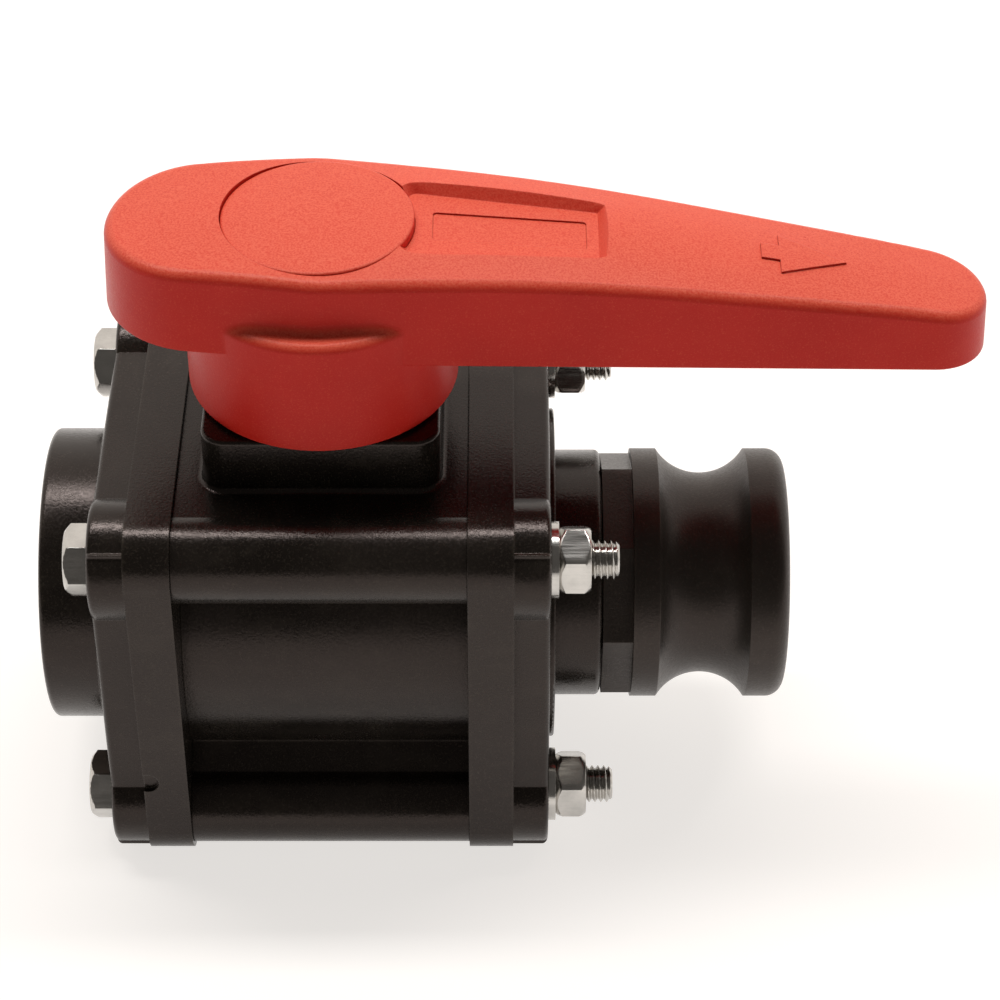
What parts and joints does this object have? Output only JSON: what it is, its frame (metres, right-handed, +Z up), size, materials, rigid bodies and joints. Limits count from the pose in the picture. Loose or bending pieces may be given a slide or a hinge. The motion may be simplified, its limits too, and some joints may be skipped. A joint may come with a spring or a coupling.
{
  "type": "ball valve",
  "caption": "Bolted three-piece plastic ball valve with a quarter-turn lever handle, a female-threaded hub and a male cam-and-groove adapter.",
  "frame": {"origin": "centre of the ball, where the flow axis and the stem axis cross", "axes": "+X along the flow towards the cam-and-groove adapter, +Z up the stem, +Y completes the right-handed frame"},
  "size_m": [0.1936, 0.089, 0.1393],
  "materials": {
    "body_plastic": "satin moulded, brownish black",
    "adapter_plastic": "satin moulded, brownish black",
    "ball_plastic": "polished, black",
    "ptfe": "white, waxy",
    "seal_rubber": "smooth black",
    "stem_plastic": "glass-filled, black",
    "handle_plastic": "fine-textured moulded, red",
    "cap_plastic": "fine-textured moulded, red",
    "stainless": "cold-formed stainless, satin"
  },
  "bodies": {
    "valve_body": {"body_casing": "body_plastic", "left_end_flange": "body_plastic", "right_end_flange": "body_plastic", "camlock_adapter": "adapter_plastic", "seat_left": "ptfe", "seat_right": "ptfe", "stem_thrust_washer": "ptfe", "seat_o_ring_left": "seal_rubber", "seat_o_ring_right": "seal_rubber", "flange_o_ring_left": "seal_rubber", "flange_o_ring_right": "seal_rubber", "adapter_o_ring": "seal_rubber", "hex_bolts": "stainless", "hex_nuts": "stainless", "bolt_washers": "stainless"},
    "handle": {"handle": "handle_plastic", "handle_cap": "cap_plastic", "handle_screw": "stainless", "handle_screw_washer": "stainless", "stem": "stem_plastic", "stem_o_ring_lower": "seal_rubber", "stem_o_ring_upper": "seal_rubber"},
    "ball": {"ball": "ball_plastic"}
  },
  "joints": [
    {"name": "handle_turn", "type": "hinge", "parent": "valve_body", "child": "handle", "pos_m": [0, 0, 0.056], "axis": [0, 0, 1], "range_deg": [-90, 0]},
    {"name": "ball_turn", "type": "hinge", "parent": "valve_body", "child": "ball", "pos_m": [0, 0, 0], "axis": [0, 0, 1], "range_deg": [-90, 0]}
  ],
  "couplings": [
    {"joint": "ball_turn", "follows": "handle_turn", "ratio": 1}
  ]
}
